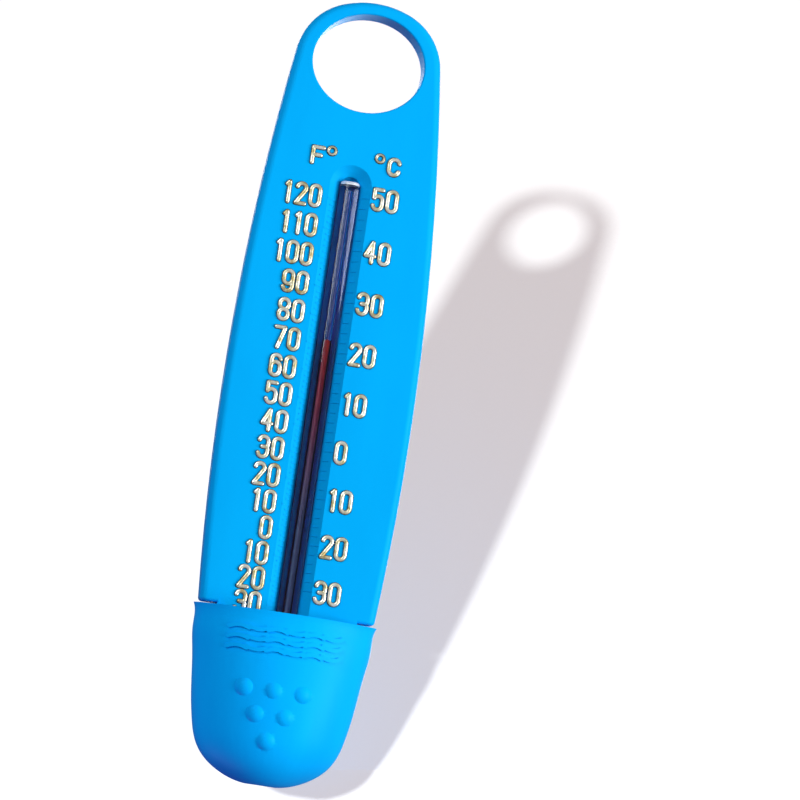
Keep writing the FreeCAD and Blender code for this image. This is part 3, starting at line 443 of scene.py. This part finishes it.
# A white ring round the tube's top corners: a painted glint.
ease(keep(
    turned(
        [(1.6, -38.88)]
        + rounded(TOP_CORNER, 0.72, 90, 0, 8)
        + [(3.12, -40.0), (2.9, -40.0)]
        + rounded(TOP_CORNER, 0.5, 0, 90, 8)
        + [(1.6, -39.1), (1.6, -38.88)]
    ),
    "tube_end_glint", "float", END_GLINT, "tube_glass",
))

head_low, head_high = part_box("spirit_meniscus")
head_foot = head_low.z / MM
head_top = head_high.z / MM
thread_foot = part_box("spirit_thread")[0].z / MM
charge_low, charge_high = (corner.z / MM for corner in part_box("spirit_charge"))

column = keep(
    turned(
        [(0, thread_foot), (COLUMN_RADIUS, thread_foot), (COLUMN_RADIUS, head_foot), (0, head_foot)], 32
    ),
    "spirit_column", None, SPIRIT, "spirit", "spirit_thread",
)
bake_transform(column)
ease(column)
ease(keep(
    turned(
        [(0, head_foot), (COLUMN_RADIUS, head_foot), (COLUMN_RADIUS, head_top - 0.4)]
        + rounded((0.6, head_top - 0.4), 0.4, 0, 90)
        + [(0, head_top)],
        32,
    ),
    "spirit_top", "spirit_head", SPIRIT, "spirit", "spirit_meniscus",
))
ease(keep(
    turned(
        [(0, charge_low), (CHARGE_RADIUS, charge_low), (CHARGE_RADIUS, charge_high), (0, charge_high)]
    ),
    "spirit_bulb", "float", CHARGE, "spirit", "spirit_charge",
))

for node, material in (("upper_tube_bond", RESIN), ("lower_tube_bond", RESIN), ("ballast_slugs", STEEL)):
    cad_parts[node].data.materials.clear()
    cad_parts[node].data.materials.append(material)


# ---------------------------------------------------------------- numerals

# Half the width and half the height of a digit's centre line, the height of its bends' centres
# and the radius of the small bends at the waist of a 3, in mm. A bead's girth is its radius.
HALF, TALL = 1.45, 3.25
BEND = TALL - HALF
WAIST = HALF / 2
BEAD, DEGREE_BEAD = 0.78, 0.58
FLATTENING = 0.85
DIGIT_PITCH, PITCH_BESIDE_ONE, FIRST_DIGIT = 4.6, 4.0, 2.2
FAHRENHEIT_EDGE, CELSIUS_EDGE = 8.7, 7.1


def on_bend(centre, radius, degrees):
    """The point of a bend at an angle."""
    angle = math.radians(degrees)
    return centre[0] + radius * math.cos(angle), centre[1] + radius * math.sin(angle)


# Centre lines in mm: a pair of points is a straight run, and four values are a bend with its
# centre, radius and the angles that it runs between.
STROKES = {
    "0": [
        ((0, BEND), HALF, 0, 180), ((0, -BEND), HALF, 180, 360),
        ((HALF, -BEND), (HALF, BEND)), ((-HALF, -BEND), (-HALF, BEND)),
    ],
    "1": [((0, -TALL), (0, TALL)), ((0, TALL), (-HALF * 0.55, TALL - HALF * 0.6))],
    "2": [
        ((0, BEND), HALF, -30, 170), (on_bend((0, BEND), HALF, -30), (-HALF, -TALL)),
        ((-HALF, -TALL), (HALF, -TALL)),
    ],
    "3": [
        ((0, BEND), HALF, 0, 170), ((HALF, BEND), (HALF, WAIST)),
        ((HALF - WAIST, WAIST), WAIST, -90, 0), ((HALF - WAIST, 0), (-WAIST / 2, 0)),
        ((HALF - WAIST, -WAIST), WAIST, 0, 90), ((HALF, -WAIST), (HALF, -BEND)),
        ((0, -BEND), HALF, -170, 0),
    ],
    "4": [
        ((HALF * 0.45, TALL), (-HALF, -TALL * 0.35)), ((-HALF, -TALL * 0.35), (HALF, -TALL * 0.35)),
        ((HALF * 0.45, TALL), (HALF * 0.45, -TALL)),
    ],
    "5": [
        ((HALF * 0.9, TALL), (-HALF * 0.9, TALL)), ((-HALF * 0.9, TALL), (-HALF * 0.9, WAIST * 0.6)),
        ((0, -WAIST * 0.4), HALF, 0, 145), ((HALF, -WAIST * 0.4), (HALF, -BEND)),
        ((0, -BEND), HALF, -170, 0),
    ],
    "6": [
        ((0, BEND), HALF, 10, 180), ((-HALF, BEND), (-HALF, -BEND)), ((0, -BEND), HALF, 180, 360),
        ((HALF, -BEND), (HALF, -WAIST * 0.6)), ((0, -WAIST * 0.6), HALF, 0, 180),
    ],
    "7": [((-HALF, TALL), (HALF, TALL)), ((HALF, TALL), (-HALF * 0.3, -TALL))],
    "8": [
        ((0, BEND), HALF, 0, 180), ((0, HALF), HALF, 180, 360),
        ((HALF, HALF), (HALF, BEND)), ((-HALF, HALF), (-HALF, BEND)),
        ((0, -HALF), HALF, 0, 180), ((0, -BEND), HALF, 180, 360),
        ((HALF, -BEND), (HALF, -HALF)), ((-HALF, -BEND), (-HALF, -HALF)),
    ],
    "9": [
        ((0, -BEND), HALF, 190, 360), ((HALF, -BEND), (HALF, BEND)), ((0, BEND), HALF, 0, 180),
        ((-HALF, WAIST * 0.6), (-HALF, BEND)), ((0, WAIST * 0.6), HALF, 180, 360),
    ],
    "F": [((-1.65, -2.55), (-1.65, 2.55)), ((-1.65, 2.55), (1.65, 2.55)), ((-1.65, 0), (0.99, 0))],
    "C": [((0, 0.9), 1.65, 15, 180), ((-1.65, 0.9), (-1.65, -0.9)), ((0, -0.9), 1.65, 180, 345)],
    "degree": [((0, 0), 1.25, 0, 360)],
}


def add_run(shape, start, end, girth):
    """A straight length of bead."""
    run = Vector((end[0] - start[0], 0, end[1] - start[1]))
    middle = Matrix.Translation(((start[0] + end[0]) / 2, 0, (start[1] + end[1]) / 2))
    turn = run.to_track_quat("Z", "Y").to_matrix().to_4x4()
    bmesh.ops.create_cone(
        shape, cap_ends=True, segments=14, radius1=girth, radius2=girth,
        depth=run.length, matrix=middle @ turn,
    )


def add_bend(shape, centre, radius, start, end, girth):
    """A curved length of bead: a circle carried round the bend's centre."""
    middle = Vector((centre[0], 0, centre[1]))
    place = (
        Matrix.Translation(middle)
        @ Matrix.Rotation(-math.radians(start), 4, "Y")
        @ Matrix.Translation((radius, 0, 0))
    )
    ring = bmesh.ops.create_circle(shape, segments=14, radius=girth, matrix=place)["verts"]
    edges = {edge for vert in ring for edge in vert.link_edges}
    whole = end - start == 360
    bmesh.ops.spin(
        shape, geom=ring + list(edges), cent=middle, axis=(0, -1, 0),
        angle=math.radians(end - start), steps=max(4, round((end - start) / 15)), use_merge=whole,
    )


def bead_glyph(strokes, girth=BEAD):
    """One raised figure: round beads along its strokes, with round ends."""
    shape = bmesh.new()
    for stroke in strokes:
        if len(stroke) == 2:
            add_run(shape, *stroke, girth)
            ends = stroke
        else:
            centre, radius, start, end = stroke
            add_bend(shape, *stroke, girth)
            ends = [on_bend(centre, radius, angle) for angle in (start, end) if end - start < 360]
        for x, z in ends:
            bmesh.ops.create_uvsphere(
                shape, u_segments=12, v_segments=7, radius=girth, matrix=Matrix.Translation((x, 0, z))
            )
    bmesh.ops.holes_fill(shape, edges=[edge for edge in shape.edges if edge.is_boundary], sides=0)
    bmesh.ops.scale(shape, verts=shape.verts, vec=(1, FLATTENING, 1))
    bmesh.ops.recalc_face_normals(shape, faces=shape.faces)
    mesh = bpy.data.meshes.new("glyph")
    shape.to_mesh(mesh)
    shape.free()
    return mesh


GLYPHS = {
    name: bead_glyph(strokes, DEGREE_BEAD if name == "degree" else BEAD)
    for name, strokes in STROKES.items()
}


def raise_figures(name, figures, *nodes):
    """Sets glyphs on the face. Figures are a glyph's name and the place of its middle in mm."""
    shape = bmesh.new()
    for glyph, x, z in figures:
        before = set(shape.verts)
        shape.from_mesh(GLYPHS[glyph])
        bmesh.ops.translate(
            shape, verts=[vert for vert in shape.verts if vert not in before], vec=(x, FACE, z)
        )
    bmesh.ops.scale(shape, verts=shape.verts, vec=(MM, MM, MM))
    return ease(keep(shape, name, "float", FOIL, "foil", *nodes), 60)


def mark_height(fahrenheit):
    """Height of a mark on the scale, which closes up slightly towards the cold end."""
    below = 120 - fahrenheit
    return -(45.45 + 0.9692 * below - 0.000583 * below**2)


def label(shown, height, edge, side):
    """A label's digits, set outwards from its inner edge."""
    text = str(abs(shown)) if side > 0 else str(abs(shown))[::-1]
    x = edge + FIRST_DIGIT
    figures = []
    for index, digit in enumerate(text):
        if index:
            x += PITCH_BESIDE_ONE if "1" in text[index - 1 : index + 1] else DIGIT_PITCH
        figures.append((digit, side * x, height))
    return figures


raise_figures(
    "fahrenheit_figures",
    [
        figure
        for shown in range(-30, 121, 10)
        for figure in label(shown, mark_height(shown), FAHRENHEIT_EDGE, -1)
    ],
    "fahrenheit_numerals",
)
raise_figures(
    "celsius_figures",
    [
        figure
        for shown in range(-30, 51, 10)
        for figure in label(shown, mark_height(shown * 1.8 + 32), CELSIUS_EDGE, 1)
    ],
    "celsius_numerals",
)
raise_figures("fahrenheit_sign", [("F", -12.0, -32.3), ("degree", -7.6, -30.2)], "fahrenheit_mark")
raise_figures("celsius_sign", [("C", 12.95, -32.3), ("degree", 8.1, -30.2)], "celsius_mark")


# ---------------------------------------------------------------- studio

MIDDLE = Vector((0.0, 0.0, -107.4 * MM))
AZIMUTH, ELEVATION, LEAN = -4.8, -6.2, 8.45
DISTANCE = 1.2
VIEW_WIDTH = 0.25696  # at the thermometer's distance
FILM_WIDTH = 36


def aim_camera():
    """Puts the camera low and a little to the left, rolled so that the ring leans to the right."""
    round_by, lift = math.radians(AZIMUTH), math.radians(ELEVATION)
    back = Vector((
        math.sin(round_by) * math.cos(lift),
        -math.cos(round_by) * math.cos(lift),
        math.sin(lift),
    ))
    camera = bpy.data.objects.new("camera", bpy.data.cameras.new("camera"))
    camera.data.sensor_width = FILM_WIDTH
    camera.data.lens = FILM_WIDTH * DISTANCE / VIEW_WIDTH
    camera.data.clip_start, camera.data.clip_end = 0.01, 20
    camera.data.dof.use_dof = False
    turn = (-back).to_track_quat("-Z", "Y") @ Matrix.Rotation(math.radians(LEAN), 3, "Z").to_quaternion()
    camera.rotation_mode = "QUATERNION"
    camera.rotation_quaternion = turn
    camera.location = MIDDLE + back * DISTANCE
    aside = turn @ Vector((26.1 * MM, -2.5 * MM, -DISTANCE))
    camera.rotation_quaternion = (turn @ Vector((0, 0, -DISTANCE))).rotation_difference(aside) @ turn
    bpy.context.scene.collection.objects.link(camera)
    bpy.context.scene.camera = camera
    return camera


camera = aim_camera()
right, up, back = camera.rotation_quaternion.to_matrix().col

# The paper stands well behind the ring, comes forward to the foot, and then drops straight down.
ring_depth, foot_depth = 0.287, 0.028
paper_width, paper_drop, paper_rise = 8, 4, 5
ring_spot = MIDDLE + up * 0.109 - back * ring_depth
foot_spot = MIDDLE - up * 0.124 - back * foot_depth
slope = (ring_spot - foot_spot).normalized()
paper_shape = bmesh.new()
line = [
    paper_shape.verts.new(spot - right * (paper_width / 2))
    for spot in (foot_spot - up * paper_drop, foot_spot, foot_spot + slope * paper_rise)
]
edges = [paper_shape.edges.new(pair) for pair in zip(line, line[1:])]
swept = bmesh.ops.extrude_edge_only(paper_shape, edges=edges)["geom"]
far_side = [item for item in swept if isinstance(item, bmesh.types.BMVert)]
bmesh.ops.translate(paper_shape, verts=far_side, vec=right * paper_width)
for face in paper_shape.faces:
    if face.normal.dot(back) < 0:
        face.normal_flip()
paper_mesh = bpy.data.meshes.new("studio_sweep")
paper_shape.to_mesh(paper_mesh)
paper_shape.free()
paper_mesh.materials.append(studio_paper())
paper = bpy.data.objects.new("studio_sweep", paper_mesh)
paper.visible_diffuse = False
paper.visible_glossy = False
paper.visible_shadow = False
bpy.context.scene.collection.objects.link(paper)


def lit_group(name, pieces):
    """A collection of the pieces that a light reaches."""
    group = bpy.data.collections.new(name)
    for piece in pieces:
        group.objects.link(piece)
    return group


pieces = [piece for piece in bpy.context.scene.objects if piece.type == "MESH" and piece is not paper]
all_pieces = lit_group("lit_thermometer", pieces)
all_but_tube = lit_group("lit_beside_tube", [piece for piece in pieces if piece.name != "tube"])
paper_only = lit_group("lit_paper", [paper])


def soft_light(name, place, size, power, colour, group):
    """A round soft box that lights a group of the thermometer's pieces."""
    light = bpy.data.objects.new(name, bpy.data.lights.new(name, "AREA"))
    light.data.shape = "DISK"
    light.data.size = size
    light.data.energy = power
    light.data.color = colour
    light.location = place
    light.rotation_euler = (MIDDLE - place).to_track_quat("-Z", "Y").to_euler()
    light.light_linking.receiver_collection = group
    bpy.context.scene.collection.objects.link(light)


def paper_light(name, travel, strength, colour, spread, casts_shadow):
    """A far light for the paper alone."""
    light = bpy.data.objects.new(name, bpy.data.lights.new(name, "SUN"))
    light.data.energy = strength
    light.data.color = colour
    light.data.angle = math.radians(spread)
    light.data.use_shadow = casts_shadow
    light.rotation_euler = travel.to_track_quat("-Z", "Y").to_euler()
    light.light_linking.receiver_collection = paper_only
    bpy.context.scene.collection.objects.link(light)


facing = right.cross(slope).normalized()
paper_light("key", right * 0.0866 - up * 0.0574 - back * ring_depth, 1.8, (0.95, 1.0, 1.0), 2.4, True)
paper_light("paper_wash", -(facing + back), 1.9, (1.0, 0.885, 0.87), 20, False)
soft_light(
    "side_box", MIDDLE + right * 1.0 - up * 0.15 + back * 0.5, 0.7, 17.5, (1, 1, 1), all_but_tube
)
soft_light(
    "front_box", MIDDLE - right * 0.5 + up * 0.75 + back * 0.9, 0.9, 11.5, (0.9, 0.95, 1), all_pieces
)
soft_light("back_box", MIDDLE + right * 0.2 + up * 0.3 - back * 1.3, 1.2, 16, (1, 1, 1), all_pieces)
soft_light(
    "violet_bounce", MIDDLE - right * 0.5 - up * 0.6 + back * 0.05, 0.5, 1.3, (0.9, 0.1, 1), all_pieces
)

# The camera sees a pale studio, and the pieces are lit by a dim one.
world = bpy.data.worlds.new("studio")
world.use_nodes = True
world_tree = world.node_tree
dim_studio = world_tree.nodes["Background"]
dim_studio.inputs["Color"].default_value = (0.92, 0.9, 1, 1)
dim_studio.inputs["Strength"].default_value = 0.12
pale_studio = world_tree.nodes.new("ShaderNodeBackground")
pale_studio.inputs["Color"].default_value = (0.95, 0.95, 0.96, 1)
seen = world_tree.nodes.new("ShaderNodeLightPath").outputs["Is Camera Ray"]
either = world_tree.nodes.new("ShaderNodeMixShader")
world_tree.links.new(seen, either.inputs["Fac"])
world_tree.links.new(dim_studio.outputs["Background"], either.inputs[1])
world_tree.links.new(pale_studio.outputs["Background"], either.inputs[2])
world_tree.links.new(either.outputs["Shader"], world_tree.nodes["World Output"].inputs["Surface"])
bpy.context.scene.world = world
bpy.context.scene.view_settings.view_transform = "Standard"
